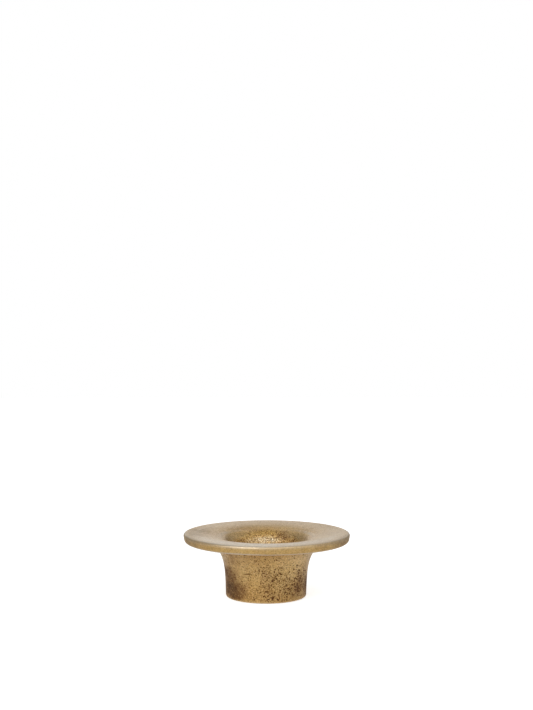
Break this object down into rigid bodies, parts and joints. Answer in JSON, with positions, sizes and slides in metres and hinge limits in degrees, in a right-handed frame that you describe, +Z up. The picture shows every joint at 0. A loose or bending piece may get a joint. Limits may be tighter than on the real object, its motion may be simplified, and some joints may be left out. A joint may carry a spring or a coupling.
{
  "type": "pillar candle holder",
  "caption": "Low cast brass candle holder: a round cup that flares out to a broad flat rim, with a deep round well for a slim pillar candle and felt under its foot.",
  "frame": {"origin": "on the axis, in the plane of the table that the felt pad rests on", "axes": "+Z up along the axis of the cup and its well; the holder is round, so +X and +Y are free"},
  "size_m": [0.1, 0.1, 0.0382],
  "materials": {
    "brass": "aged satin, sand-cast with fine dark pits, rim dressed smoother",
    "felt": "matt wool felt",
    "adhesive": "translucent film"
  },
  "bodies": {
    "root": {"brass_casting": "brass", "felt_pad": "felt", "adhesive_film": "adhesive"}
  },
  "joints": []
}
